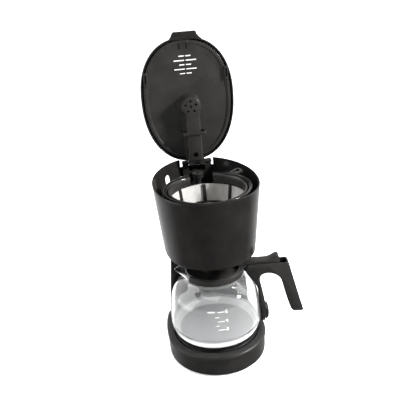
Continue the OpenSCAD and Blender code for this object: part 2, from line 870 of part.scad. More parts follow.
module lid_lever() {
    color(blacks) carafe_pose() difference() {
        union() {
            rotate([90, 0, 0]) linear_extrude(2 * lever_hw, center = true) polygon([[lever_cut, 140.9],
                [lever_cut, 143.2], [50, 145.6], [58, 146.5], [78, 146.5], [85, 148.2], [92.4, 152.4],
                [95.4, 152.8], [97.6, 150.8], [98.2, 141.8], [92, 141.8], [60, 141.8], [50, 141.4]]);
            lever_axis() cylinder(r = 2.9, h = 2 * lever_hw, center = true, $fn = 40);
        }
        lever_axis() cylinder(r = 1.26, h = 40, center = true, $fn = 32);
        translate([76, 0, 141]) cube([40, 12, 5], center = true);
        translate([lever_cut - 10 + eps, 0, 140]) cube([20, 40, 20], center = true);
    }
}

module lever_axis() {
    translate([lever_hinge, 0, lever_hinge_z - 1.2]) rotate([90, 0, 0]) children();
}

base_shell();
plate_ring();
bottom_cover();
rubber_feet();
base_screws();
hot_plate();
plate_gasket();
heater_tube();
thermostat();
thermal_fuse();
valve_body();
check_ball();
cold_tube();
riser_tube();
tube_clamps();
column_shell();
underside_cover();
drum_shell();
brew_liner();
tank_floor();
riser_port();
hinge_bracket();
hinge_pin();
switch_body();
switch_rocker();
cord_gland();
lid_shell();
lid_liner();
lid_lug();
spout_arm();
shower_plate();
arm_clip();
filter_basket();
outlet_guide();
drip_valve();
valve_seal();
valve_spring();
filter_frame();
filter_mesh();
carafe_glass();
collar_band();
carafe_handle();
handle_cap();
lever_pin();
carafe_lid();
lid_lever();
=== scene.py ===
import json
import math

import bmesh
import bpy
from mathutils import Matrix, Vector


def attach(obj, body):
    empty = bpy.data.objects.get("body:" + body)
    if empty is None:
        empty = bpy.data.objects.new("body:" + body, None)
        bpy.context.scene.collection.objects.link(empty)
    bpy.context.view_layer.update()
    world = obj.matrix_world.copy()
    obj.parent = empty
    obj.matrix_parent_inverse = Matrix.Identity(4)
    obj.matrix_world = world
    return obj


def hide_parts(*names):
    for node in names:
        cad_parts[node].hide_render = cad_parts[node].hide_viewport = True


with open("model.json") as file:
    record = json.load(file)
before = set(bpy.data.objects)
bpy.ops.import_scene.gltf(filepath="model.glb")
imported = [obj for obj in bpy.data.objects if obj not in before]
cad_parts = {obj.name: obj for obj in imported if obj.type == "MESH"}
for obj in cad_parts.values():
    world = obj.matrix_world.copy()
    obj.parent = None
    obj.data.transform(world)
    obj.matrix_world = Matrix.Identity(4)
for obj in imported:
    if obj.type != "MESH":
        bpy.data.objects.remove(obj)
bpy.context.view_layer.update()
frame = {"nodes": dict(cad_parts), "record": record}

MM = 0.001
SEGS = 224

# ---------- the machine's dimensions, in millimetres, as in the CAD ----------
DRUM_A, DRUM_F, DRUM_B, DRUM_Y = 75.0, 93.5, 107.7, 20.0
DRUM_NF, DRUM_NB = 2.27, 1.97
RIM_Z, DRUM_Z, DRUM_TAPER, DRUM_WALL = 268.6, 167.5, 0.882, 2.0
PLINTH = dict(a=73.4, f=77.6, b=115.7, nf=2.03, nb=2.4, cy=2.3)
PLINTH_Z, RING_Z, RING_R = 27.0, 34.2, 65.1
COLUMN_LOW, COLUMN_TOP, BAY_R = 65.5, 54.0, 69.0
LID_OPEN, HINGE_X, HINGE_Y, HINGE_Z = 95.1, 4.0, 118.0, 263.6
LID_Z = 267.6
LID = dict(a=71.2, f=88.6, b=98.5, nf=2.3, nb=2.23, cy=HINGE_Y - 100.5)
PANEL_Z = LID_Z + 3
ARM_X, SHANK_X, CLIP_X = 1.2, 2.6, 3.4
ARM_Z = LID_Z - 16
HEAD_Y, ROOT_Y, RISER_Y = HINGE_Y - 88, HINGE_Y - 5, 104.0
GLASS_WALL, NECK_R, NECK_Z, MOUTH_Z = 2.2, 42.4, 128.0, 139.5
FIRST_RIB = -3.5
TURN = Matrix.Rotation(math.radians(-8), 4, "Z")
LID_POSE = (Matrix.Translation((0, HINGE_Y, HINGE_Z)) @ Matrix.Rotation(math.radians(-LID_OPEN), 4, "X")
            @ Matrix.Translation((0, -HINGE_Y, -HINGE_Z)))
SAME = Matrix.Identity(4)


# ---------- mesh helpers ----------
def lerp(a, b, t):
    return a + (b - a) * t


def egg_point(t, a, f, b, nf, nb, cy, inset=0.0):
    s, c = math.sin(t), math.cos(t)
    n, semi = (nf, f) if s < 0 else (nb, b)
    x = (a - inset) * math.copysign(abs(c) ** (2 / n), c)
    y = cy + (semi - inset) * math.copysign(abs(s) ** (2 / n), s)
    return x, y


def egg(inset=0.0, scale=1.0, segs=SEGS, **plan):
    """Points of an egg-shaped plan, spread evenly along its length."""
    fine = [egg_point(2 * math.pi * i / 1440, plan["a"] * scale, plan["f"] * scale, plan["b"] * scale,
                      plan["nf"], plan["nb"], plan["cy"], inset) for i in range(1440)]
    return even_spread(fine, segs)


def even_spread(points, count):
    """Resamples a closed outline to a number of points of equal spacing."""
    total, sums = 0.0, [0.0]
    for i, p in enumerate(points):
        q = points[(i + 1) % len(points)]
        total += math.dist(p, q)
        sums.append(total)
    out, k = [], 0
    for i in range(count):
        want = total * i / count
        while sums[k + 1] < want:
            k += 1
        p, q = points[k], points[(k + 1) % len(points)]
        t = (want - sums[k]) / max(sums[k + 1] - sums[k], 1e-9)
        out.append((lerp(p[0], q[0], t), lerp(p[1], q[1], t)))
    return out


def make(name, verts, faces, material, body, hides=(), slot=None, pose=SAME, angle=32):
    """A smooth-shaded mesh piece from points in millimetres, riding on a body."""
    mesh = bpy.data.meshes.new(name)
    mesh.from_pydata([tuple(v) for v in verts], [], faces)
    mesh.validate()
    piece = bpy.data.objects.new(name, mesh)
    bpy.context.scene.collection.objects.link(piece)
    mesh.transform(Matrix.Scale(MM, 4) @ pose)
    tidy_mesh(mesh)
    dress(piece, material, angle)
    if body:
        register(piece, body, hides)
    return piece


def tidy_mesh(mesh):
    bm = bmesh.new()
    bm.from_mesh(mesh)
    bmesh.ops.remove_doubles(bm, verts=bm.verts, dist=1e-6)
    bmesh.ops.recalc_face_normals(bm, faces=bm.faces)
    bm.to_mesh(mesh)
    bm.free()


def dress(piece, material, angle=32):
    piece.data.materials.clear()
    piece.data.materials.append(material)
    for poly in piece.data.polygons:
        poly.use_smooth = True
        poly.material_index = 0
    piece.data.set_sharp_from_angle(angle=math.radians(angle))


def register(piece, body, hides=()):
    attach(piece, body)
    if hides:
        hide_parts(*hides)


def bake(piece, angle=32):
    """Applies a piece's modifiers to its mesh."""
    graph = bpy.context.evaluated_depsgraph_get()
    mesh = bpy.data.meshes.new_from_object(piece.evaluated_get(graph))
    old = piece.data
    piece.modifiers.clear()
    piece.data = mesh
    mesh.name = old.name
    bpy.data.meshes.remove(old)
    mesh.set_sharp_from_angle(angle=math.radians(angle))
    return piece


def cut(piece, cutters, operation="DIFFERENCE", angle=32):
    for cutter in cutters:
        mod = piece.modifiers.new("cut", "BOOLEAN")
        mod.object = cutter
        mod.operation = operation
        mod.solver = "EXACT"
        bpy.context.view_layer.update()
        bake(piece, angle)
        mesh = cutter.data
        bpy.data.objects.remove(cutter)
        bpy.data.meshes.remove(mesh)
    return piece


def bevel(piece, width, segments=3, limit=35, angle=32):
    mod = piece.modifiers.new("bevel", "BEVEL")
    mod.width = width * MM
    mod.segments = segments
    mod.limit_method = "ANGLE"
    mod.angle_limit = math.radians(limit)
    mod.harden_normals = False
    bpy.context.view_layer.update()
    return bake(piece, angle)


def loft(rings, cap_start=True, cap_end=True, closed_rings=True):
    """Verts and faces of a skin over rings that have the same number of points."""
    n = len(rings[0])
    verts = [p for ring in rings for p in ring]
    faces = []
    spans = n if closed_rings else n - 1
    for r in range(len(rings) - 1):
        for i in range(spans):
            j = (i + 1) % n
            faces.append((r * n + i, r * n + j, (r + 1) * n + j, (r + 1) * n + i))
    if cap_start:
        faces.append(tuple(reversed(range(n))))
    if cap_end:
        faces.append(tuple(range((len(rings) - 1) * n, len(rings) * n)))
    return verts, faces


def closed_loft(rings):
    """A loft whose last ring joins its first, so that it is a tube bent into itself."""
    n, m = len(rings[0]), len(rings)
    verts = [p for ring in rings for p in ring]
    faces = [(r * n + i, r * n + (i + 1) % n, ((r + 1) % m) * n + (i + 1) % n, ((r + 1) % m) * n + i)
             for r in range(m) for i in range(n)]
    return verts, faces


def lathe(profile, segs=128, start=0.0, sweep=360.0, closed=False):
    """Turns (r, z) points round the Z axis."""
    full = abs(sweep) >= 360
    count = segs if full else segs + 1
    verts, faces, index = [], [], []
    for r, z in profile:
        if r < 1e-6 and full:
            index.append([len(verts)] * count)
            verts.append((0, 0, z))
            continue
        row = []
        for k in range(count):
            a = math.radians(start + sweep * k / segs)
            row.append(len(verts))
            verts.append((r * math.cos(a), r * math.sin(a), z))
        index.append(row)
    rows = len(profile)
    for i in range(rows if closed else rows - 1):
        a, b = index[i], index[(i + 1) % rows]
        for k in range(segs):
            q = (k + 1) % count
            face = [a[k], a[q], b[q], b[k]]
            face = [v for n, v in enumerate(face) if v not in face[:n]]
            if len(face) > 2:
                faces.append(tuple(face))
    if not full and closed:
        faces.append(tuple(row[0] for row in index))
        faces.append(tuple(reversed([row[-1] for row in index])))
    return verts, faces


def smooth_line(points, per_span=5, closed=False):
    """Catmull-Rom curve through points of any dimension."""
    out = []
    n = len(points)
    spans = n if closed else n - 1
    for i in range(spans):
        if closed:
            p = [points[(i + k - 1) % n] for k in range(4)]
        else:
            p = [points[min(max(i + k - 1, 0), n - 1)] for k in range(4)]
        for s in range(per_span):
            t = s / per_span
            out.append(tuple(0.5 * (2 * b + (c - a) * t + (2 * a - 5 * b + 4 * c - d) * t * t
                                    + (3 * b - a - 3 * c + d) * t ** 3)
                             for a, b, c, d in zip(*p)))
    if not closed:
        out.append(tuple(points[-1]))
    return out


def box_mesh(low, high):
    xs, ys, zs = zip(low, high)
    verts = [(x, y, z) for z in zs for y in ys for x in xs]
    faces = [(0, 2, 3, 1), (4, 5, 7, 6), (0, 1, 5, 4), (2, 6, 7, 3), (0, 4, 6, 2), (1, 3, 7, 5)]
    return verts, faces


def cutter_box(low, high, pose=SAME, radius=0.0):
    piece = make("cutter", *box_mesh(low, high), BLACK, None, pose=pose)
    if radius:
        bevel(piece, radius, 4)
    return piece


def cutter_rod(center, axis, radius, length, pose=SAME, segs=40):
    ring = [[(radius * math.cos(2 * math.pi * k / segs), radius * math.sin(2 * math.pi * k / segs), z)
             for k in range(segs)] for z in (-length / 2, length / 2)]
    turn = Vector(axis).to_track_quat("Z", "Y").to_matrix().to_4x4()
    verts, faces = loft(ring)
    return make("cutter", verts, faces, BLACK, None,
                pose=pose @ Matrix.Translation(center) @ turn)


def prism(outline, low, high, axis="Z"):
    """A plate from an outline. For axis Y the outline is (x, z) and low, high are along Y."""
    rings = []
    for h in (low, high):
        if axis == "Z":
            rings.append([(x, y, h) for x, y in outline])
        else:
            rings.append([(x, h, z) for x, z in outline])
    return loft(rings)


# ---------- materials ----------
def new_material(name):
    mat = bpy.data.materials.new(name)
    mat.use_nodes = True
    tree = mat.node_tree
    shader = tree.nodes["Principled BSDF"]
    coords = tree.nodes.new("ShaderNodeTexCoord")
    return mat, tree, shader, coords


def noise_node(tree, coords, scale, detail=4.0, stretch=None, rough=0.55):
    node = tree.nodes.new("ShaderNodeTexNoise")
    node.inputs["Scale"].default_value = scale
    node.inputs["Detail"].default_value = detail
    node.inputs["Roughness"].default_value = rough
    if stretch:
        place = tree.nodes.new("ShaderNodeMapping")
        place.inputs["Scale"].default_value = stretch
        tree.links.new(coords.outputs["Object"], place.inputs["Vector"])
        tree.links.new(place.outputs["Vector"], node.inputs["Vector"])
    else:
        tree.links.new(coords.outputs["Object"], node.inputs["Vector"])
    return node


def spread(tree, source, low, high, start=0.3, end=0.7):
    node = tree.nodes.new("ShaderNodeMapRange")
    node.inputs["From Min"].default_value = start
    node.inputs["From Max"].default_value = end
    node.inputs["To Min"].default_value = low
    node.inputs["To Max"].default_value = high
    tree.links.new(source, node.inputs["Value"])
    return node.outputs["Result"]


def ramp(tree, source, dark, light, start=0.3, end=0.7):
    node = tree.nodes.new("ShaderNodeValToRGB")
    node.color_ramp.elements[0].position = start
    node.color_ramp.elements[1].position = end
    node.color_ramp.elements[0].color = (*dark, 1)
    node.color_ramp.elements[1].color = (*light, 1)
    tree.links.new(source, node.inputs["Fac"])
    return node.outputs["Color"]


def bump(tree, shader, height, strength, distance):
    node = tree.nodes.new("ShaderNodeBump")
    node.inputs["Strength"].default_value = strength
    node.inputs["Distance"].default_value = distance
    tree.links.new(height, node.inputs["Height"])
    tree.links.new(node.outputs["Normal"], shader.inputs["Normal"])


def plastic(name, dark, light, rough_low, rough_high, grain, strength, distance, specular=0.5, coat=0.0):
    """Moulded plastic: uneven tint, uneven sheen and a fine grain."""
    mat, tree, shader, coords = new_material(name)
    cloud = noise_node(tree, coords, 38, 3)
    tree.links.new(ramp(tree, cloud.outputs["Fac"], dark, light), shader.inputs["Base Color"])
    sheen = noise_node(tree, coords, 90, 5)
    tree.links.new(spread(tree, sheen.outputs["Fac"], rough_low, rough_high), shader.inputs["Roughness"])
    fine = noise_node(tree, coords, grain, 2)
    bump(tree, shader, fine.outputs["Fac"], strength, distance)
    shader.inputs["Specular IOR Level"].default_value = specular
    if coat:
        shader.inputs["Coat Weight"].default_value = coat
        shader.inputs["Coat Roughness"].default_value = 0.03
    return mat


def metal(name, dark, light, rough_low, rough_high, stretch, strength=0.15):
    mat, tree, shader, coords = new_material(name)
    grain = noise_node(tree, coords, 60, 6, stretch)
    tree.links.new(ramp(tree, grain.outputs["Fac"], dark, light), shader.inputs["Base Color"])
    tree.links.new(spread(tree, grain.outputs["Fac"], rough_low, rough_high), shader.inputs["Roughness"])
    bump(tree, shader, grain.outputs["Fac"], strength, 0.0002)
    shader.inputs["Metallic"].default_value = 1.0
    return mat


def glass_material():
    mat, tree, shader, coords = new_material("clear_glass")
    cloud = noise_node(tree, coords, 25, 2)
    tree.links.new(ramp(tree, cloud.outputs["Fac"], (0.955, 0.965, 0.965), (0.995, 1.0, 1.0)),
                   shader.inputs["Base Color"])
    tree.links.new(spread(tree, cloud.outputs["Fac"], 0.0, 0.02), shader.inputs["Roughness"])
    wave = noise_node(tree, coords, 14, 1)
    bump(tree, shader, wave.outputs["Fac"], 0.06, 0.002)
    # Transmission weight by height: low in a band round the heel (41.5 to 48.5 mm) and part-way over the bottom, so
    # the pale base colour shows there as a painted white band and a painted grey floor, standing in for light
    # refracted through the thick glass foot; nearly clear above.
    place = tree.nodes.new("ShaderNodeSeparateXYZ")
    tree.links.new(coords.outputs["Object"], place.inputs["Vector"])
    painted_glow_ramp = tree.nodes.new("ShaderNodeValToRGB")
    painted_glow_ramp.color_ramp.elements[0].position, painted_glow_ramp.color_ramp.elements[1].position = 0.0, 1.0
    for z, clear in ((0.0375, 0.55), (0.0402, 0.6), (0.0415, 0.12), (0.0485, 0.16), (0.0525, 0.93)):
        painted_glow_ramp.color_ramp.elements.new(z / 0.15).color = (clear, clear, clear, 1)
    painted_glow_ramp.color_ramp.elements[0].color = (0.62, 0.62, 0.62, 1)
    painted_glow_ramp.color_ramp.elements[-1].color = (0.97, 0.97, 0.97, 1)
    tree.links.new(spread(tree, place.outputs["Z"], 0.0, 1.0, 0.0, 0.15), painted_glow_ramp.inputs["Fac"])
    tree.links.new(painted_glow_ramp.outputs["Color"], shader.inputs["Transmission Weight"])
    shader.inputs["IOR"].default_value = 1.47
    return mat


def mesh_material():
    """Woven nylon: two crossing thread waves, pale threads with darker cells between them."""
    mat, tree, shader, coords = new_material("filter_weave")
    waves = []
    for direction, scale in (("Z", 520), ("DIAGONAL", 260)):
        node = tree.nodes.new("ShaderNodeTexWave")
        node.wave_type = "BANDS"
        node.bands_direction = direction
        node.inputs["Scale"].default_value = scale
        node.inputs["Distortion"].default_value = 0.6
        tree.links.new(coords.outputs["Object"], node.inputs["Vector"])
        waves.append(node)
    most = tree.nodes.new("ShaderNodeMath")
    most.operation = "MAXIMUM"
    tree.links.new(waves[0].outputs["Fac"], most.inputs[0])
    tree.links.new(waves[1].outputs["Fac"], most.inputs[1])
    cloud = noise_node(tree, coords, 55, 5)
    blend = tree.nodes.new("ShaderNodeMath")
    blend.operation = "MULTIPLY"
    tree.links.new(most.outputs["Value"], blend.inputs[0])
    tree.links.new(spread(tree, cloud.outputs["Fac"], 0.6, 1.0), blend.inputs[1])
    tree.links.new(ramp(tree, blend.outputs["Value"], (0.16, 0.155, 0.15), (0.56, 0.55, 0.53), 0.2, 0.9),
                   shader.inputs["Base Color"])
    tree.links.new(spread(tree, blend.outputs["Value"], 0.75, 0.45, 0.0, 1.0), shader.inputs["Roughness"])
    bump(tree, shader, most.outputs["Value"], 0.5, 0.0003)
    return mat


GLOSS = plastic("gloss_black", (0.0085, 0.008, 0.0078), (0.0125, 0.0118, 0.0112), 0.12, 0.2, 900,
                0.03, 0.0001, specular=0.13)
SATIN = plastic("satin_black", (0.011, 0.0105, 0.0102), (0.0165, 0.0158, 0.0152), 0.33, 0.46, 1500,
                0.22, 0.00012, specular=0.14)
LINER = plastic("liner_black", (0.012, 0.0115, 0.011), (0.019, 0.0182, 0.0174), 0.26, 0.40, 1200,
                0.15, 0.0001, specular=0.14)
GRIP = plastic("grip_black", (0.014, 0.0133, 0.0128), (0.021, 0.020, 0.0192), 0.36, 0.50, 1300,
               0.25, 0.00014, specular=0.14)
DARK = plastic("basket_black", (0.006, 0.0058, 0.0055), (0.0095, 0.009, 0.0085), 0.14, 0.24, 900, 0.05, 0.0001,
               specular=0.32)
BLACK = plastic("deep_black", (0.004, 0.004, 0.004), (0.008, 0.008, 0.008), 0.5, 0.7, 800, 0.2, 0.0001)
RUBBER = plastic("dark_rubber", (0.010, 0.010, 0.010), (0.02, 0.02, 0.02), 0.62, 0.85, 700, 0.4, 0.0002)
SILICONE = plastic("silicone", (0.30, 0.07, 0.04), (0.40, 0.11, 0.07), 0.5, 0.7, 600, 0.2, 0.0001)
HOSE = plastic("hose", (0.58, 0.56, 0.52), (0.76, 0.74, 0.70), 0.35, 0.55, 400, 0.15, 0.0002)
NATURAL = plastic("natural_plastic", (0.70, 0.69, 0.66), (0.82, 0.81, 0.78), 0.35, 0.5, 900, 0.2, 0.0001)
CERAMIC = plastic("ceramic", (0.72, 0.69, 0.62), (0.84, 0.81, 0.74), 0.55, 0.75, 700, 0.3, 0.0001)
RED = plastic("switch_red", (0.33, 0.02, 0.012), (0.46, 0.035, 0.02), 0.12, 0.22, 900, 0.05, 0.0001)
PRINT = plastic("white_print", (0.78, 0.78, 0.77), (0.92, 0.92, 0.91), 0.45, 0.6, 1800, 0.2, 0.00005)
COATED = plastic("plate_coating", (0.028, 0.028, 0.028), (0.05, 0.05, 0.05), 0.30, 0.48, 420, 0.35, 0.0002)
PLATE = metal("plate_face", (0.46, 0.45, 0.44), (0.62, 0.61, 0.60), 0.36, 0.55, (1, 1, 1), 0.2)
ENAMEL = plastic("plate_enamel", (0.006, 0.006, 0.006), (0.011, 0.011, 0.011), 0.3, 0.45, 500, 0.25, 0.0001,
                 specular=0.2)
STEEL = metal("steel", (0.52, 0.52, 0.53), (0.74, 0.74, 0.75), 0.18, 0.38, (1, 1, 14))
ALU = metal("cast_aluminium", (0.45, 0.45, 0.46), (0.66, 0.66, 0.67), 0.35, 0.55, (1, 1, 1), 0.4)
GOLD = metal("fuse_brass", (0.55, 0.38, 0.13), (0.70, 0.50, 0.20), 0.25, 0.45, (1, 8, 1))
GLASS = glass_material()
WEAVE = mesh_material()
BY_SLOT = {"gloss_black": GLOSS, "satin_black": SATIN, "dark_rubber": RUBBER, "silicone": SILICONE,
           "clear_glass": GLASS, "mesh_grey": WEAVE, "plate_coat": COATED, "steel": STEEL,
           "cast_alu": ALU, "ceramic": CERAMIC, "fuse_gold": GOLD, "hose": HOSE,
           "white_plastic": NATURAL, "switch_red": RED}
for part in frame["record"]["subparts"]:
    node = frame["nodes"][part["node"]]
    for holder in node.material_slots:
        holder.material = BY_SLOT[part["material_slot"]]


# ---------- drum ----------
def drum_scale(z):
    return 1 - (1 - DRUM_TAPER) * (RIM_Z - z) / (RIM_Z - DRUM_Z)


def drum_ring(z, inset):
    plan = egg(inset, drum_scale(z), a=DRUM_A, f=DRUM_F, b=DRUM_B, nf=DRUM_NF, nb=DRUM_NB, cy=DRUM_Y)
    return [(x, y, z) for x, y in plan]


def build_drum():
    low, high = DRUM_Z, RIM_Z
    shape = [(low, 0.9), (low + 0.25, 0.35), (low + 0.9, 0.0)]
    shape += [(lerp(low, high, k / 14), 0.0) for k in range(1, 14)]
    shape += [(high - 0.8, 0.0), (high - 0.3, 0.12), (high - 0.05, 0.4), (high, 0.75), (high, 1.3),
              (high - 0.1, 1.65), (high - 0.5, 1.95), (high - 1.0, DRUM_WALL)]
    shape += [(lerp(high, low, k / 14), DRUM_WALL) for k in range(1, 15)]
    rings = [drum_ring(z, inset) for z, inset in shape]
    n = len(rings[0])
    verts, faces = loft(rings, False, False)
    last = (len(rings) - 1) * n
    faces += [(last + i, last + (i + 1) % n, (i + 1) % n, i) for i in range(n)]
    drum = make("drum", verts, faces, GLOSS, "machine", ("drum_shell",), "gloss_black")
    slot_turn = Matrix.Translation((-44, 98, 244)) @ Matrix.Rotation(math.radians(52), 4, "Z")
    arc = [(6.5 * math.cos(math.radians(a)), 3 + 6.5 * math.sin(math.radians(a))) for a in range(0, 181, 9)]
    outline = [(6.5, -12)] + arc + [(-6.5, -12)]
    slot = make("cutter", *prism(outline, -15, 15, "Y"), BLACK, None, pose=slot_turn)
    notch = cutter_box((HINGE_X - 26, 100, 257), (HINGE_X + 26, 140, 277))
    cut(drum, [slot, notch], angle=25)
    return drum


# ---------- plinth, plate ring, column ----------
def plinth_ring(z, inset):
    return [(x, y, z) for x, y in egg(inset, 1.0, **PLINTH)]


def build_plinth():
    top = PLINTH_Z
    shape = [(1.6, 2.6), (1.6, 1.2), (1.75, 0.8), (2.3, 0.35), (3.2, 0.08), (4.2, 0.0)]
    shape += [(lerp(4.2, top - 0.8, k / 6), lerp(0.0, 0.26, k / 6)) for k in range(1, 7)]
    shape += [(top - 0.25, 0.4), (top, 0.9), (top, 4.0)]
    rings = [plinth_ring(z, inset) for z, inset in shape]
    hole = []
    for x, y, _ in rings[-1]:
        a = math.atan2(y, x)
        hole.append((66.1 * math.cos(a), 66.1 * math.sin(a)))
    rings.append([(x, y, top) for x, y in hole])
    rings.append([(x, y, top - 2.4) for x, y in hole])
    rings.append(plinth_ring(top - 2.4, 4.0))
    rings.append(plinth_ring(top - 2.4, 2.6))
    n = len(rings[0])
    verts, faces = loft(rings, False, False)
    last = (len(rings) - 1) * n
    faces += [(last + i, last + (i + 1) % n, (i + 1) % n, i) for i in range(n)]
    plinth = make("plinth", verts, faces, SATIN, "machine", ("base_shell",), "satin_black")
    switch = cutter_box((57.8, 25.9, 4.5), (77.8, 42.1, 24.7))
    gland = cutter_rod((-34, 109, 13), (0, 1, 0), 5.05, 24)
    riser = cutter_rod((SHANK_X, RISER_Y, 26), (0, 0, 1), 5.2, 12)
    cold = cutter_rod((-26, 74, 26), (0, 0, 1), 4.7, 12)
    cut(plinth, [switch, gland, riser, cold])
    return plinth


def ring_radius(angle, inset):
    """Distance from the jug's axis to the plate ring's edge, in one direction."""
    s, c = math.sin(angle), math.cos(angle)
    low, high = 20.0, 140.0
    for _ in range(40):
        mid = (low + high) / 2
        y = mid * s - PLINTH["cy"]
        front = y < 0
        n = PLINTH["nf"] if front else PLINTH["nb"]
        semi = (PLINTH["f"] if front else PLINTH["b"]) - inset
        inside = (abs(mid * c) / (PLINTH["a"] - inset)) ** n + (abs(y) / semi) ** n < 1
        low, high = (mid, high) if inside else (low, mid)
    if s > 0:
        low = min(low, (68 - inset) / s)
    return low


def build_plate_ring():
    z0 = PLINTH_Z + 0.02
    crown = smooth_line([(-1.0, z0), (-1.35, z0 + 0.4), (-1.45, z0 + 1.4), (-1.2, z0 + 2.6), (-0.5, z0 + 3.8),
                         (0.8, z0 + 5.0), (3.2, z0 + 6.3), (5.2, RING_Z - 0.3), (7.4, RING_Z)], 4)
    rings = []
    count = 256
    for k in range(count):
        a = 2 * math.pi * k / count
        c, s = math.cos(a), math.sin(a)
        loop = []
        for inset, z in crown:
            r = max(ring_radius(a, inset), RING_R + 0.9)
            loop.append((r * c, r * s, min(z, RING_Z)))
        inner = [(RING_R + 0.5, RING_Z), (RING_R + 0.15, RING_Z - 0.15), (RING_R, RING_Z - 0.5),
                 (RING_R, 29.6), (RING_R - 0.3, 29.2), (52.2, 29.2), (52.0, 29.0), (52.0, 27.4)]
        loop += [(r * c, r * s, z) for r, z in inner]
        rings.append(loop)
    verts, faces = closed_loft(rings)
    return make("plate_ring_skin", verts, faces, SATIN, "machine", ("plate_ring",), "satin_black")


def column_outline(z, inset=0.0):
    """Closed plan of the column at one height: rounded back, cheeks and hollow front."""
    t = (z - PLINTH_Z) / (DRUM_Z - PLINTH_Z)
    a = lerp(COLUMN_LOW, COLUMN_TOP, t)
    back = PLINTH["cy"] + PLINTH["b"] - 3 * t
    outer = []
    start = 3.0 / (back - 40)
    t0 = math.asin(start ** 1.25)
    for k in range(97):
        angle = lerp(t0, math.pi - t0, k / 96)
        outer.append(egg_point(angle, a, 60, back - 40, 2, 2.5, 40, inset))
    edge = outer[0]
    cheek = math.sqrt(max(BAY_R ** 2 - 42 ** 2, 0))
    front = []
    half = math.acos(min(cheek, edge[0] - 1.2) / BAY_R)
    for k in range(73):
        angle = lerp(math.pi - half, half, k / 72)
        front.append(((BAY_R + inset) * math.cos(angle), (BAY_R + inset) * math.sin(angle)))
    return outer + front


def build_column():
    levels = [PLINTH_Z + 0.02] + [lerp(PLINTH_Z, DRUM_Z, k / 12) for k in range(1, 12)] + [DRUM_Z - 0.04]
    rings = [[(x, y, z) for x, y in column_outline(z)] for z in levels]
    verts, faces = loft(rings)
    column = make("column", verts, faces, SATIN, "machine", ("column_shell",), "satin_black", angle=40)
    bevel(column, 0.8, 3, 50, 40)
    return column


# ---------- lid ----------
def lid_ring(z, inset, plan=None):
    return [(x, y, z) for x, y in egg(inset, 1.0, **(plan or LID))]


def steam_cutters():
    out = []
    for i in range(5):
        w = 19.8 if i % 2 == 0 else 36.0
        y = HINGE_Y - 136.8 - i * 6.45
        for lo, hi in ((1.4 - w / 2, 0.9), (1.9, 1.4 + w / 2)):
            out.append(cutter_box((lo, y, LID_Z - 5), (hi, y + 2.3, LID_Z + 35), LID_POSE, 0.5))
    return out


def build_lid_shell():
    outer = smooth_line([(0.6, 0.0), (0.05, 0.7), (0.0, 2.0), (0.4, 4.5), (1.8, 7.0), (4.5, 9.3), (8.0, 11.4),
                         (12.0, 13.1), (18.0, 14.4), (25.0, 14.95), (40.0, 15.0), (66.0, 15.0)], 3)
    inner = smooth_line([(66.0, 13.0), (42.0, 13.0), (27.0, 12.9), (20.0, 12.3), (14.0, 11.1), (10.0, 9.5),
                         (6.5, 7.3), (3.9, 5.0), (2.5, 2.5), (2.1, 1.0), (1.9, 0.3), (1.4, 0.0)], 3)
    rings = [lid_ring(LID_Z + min(z, 15.0), max(i, 0.0)) for i, z in outer]
    verts, faces = loft(rings, False, True)
    more, inner_faces = loft([lid_ring(LID_Z + max(z, 0.0), i) for i, z in inner], True, False)
    base = len(verts)
    n = len(rings[0])
    faces += [tuple(base + v for v in f) for f in inner_faces]
    last = base + len(more) - n
    faces += [(last + k, last + (k + 1) % n, (k + 1) % n, k) for k in range(n)]
    lid = make("lid_skin", verts + more, faces, GLOSS, "lid", ("lid_shell",), "gloss_black", LID_POSE)
    heel = cutter_box((-60, HINGE_Y - 6, LID_Z + 4.5), (60, HINGE_Y + 14, LID_Z + 35), LID_POSE)
    lug = cutter_box((HINGE_X - 12.45, HINGE_Y - 4.95, LID_Z - 2), (HINGE_X + 12.45, HINGE_Y + 8, LID_Z + 3),
                     LID_POSE)
    cut(lid, [heel, lug] + steam_cutters(), angle=28)
    front = LID["cy"] - LID["f"]
    half = [(26.5, 4.4), (23.6, 2.2), (21.4, -0.2), (19.6, -3.0), (18.4, -5.6), (17.2, -7.3), (15.6, -7.9)]
    tab = [(2.4 - x, front + y) for x, y in half] + [(2.4 + x, front + y) for x, y in reversed(half)]
    tongue = make("lid_tab", *prism(tab, LID_Z + 1.4, LID_Z + 3.2), GLOSS, "lid", (), "gloss_black", LID_POSE)
    bevel(tongue, 0.7, 3)
    return lid


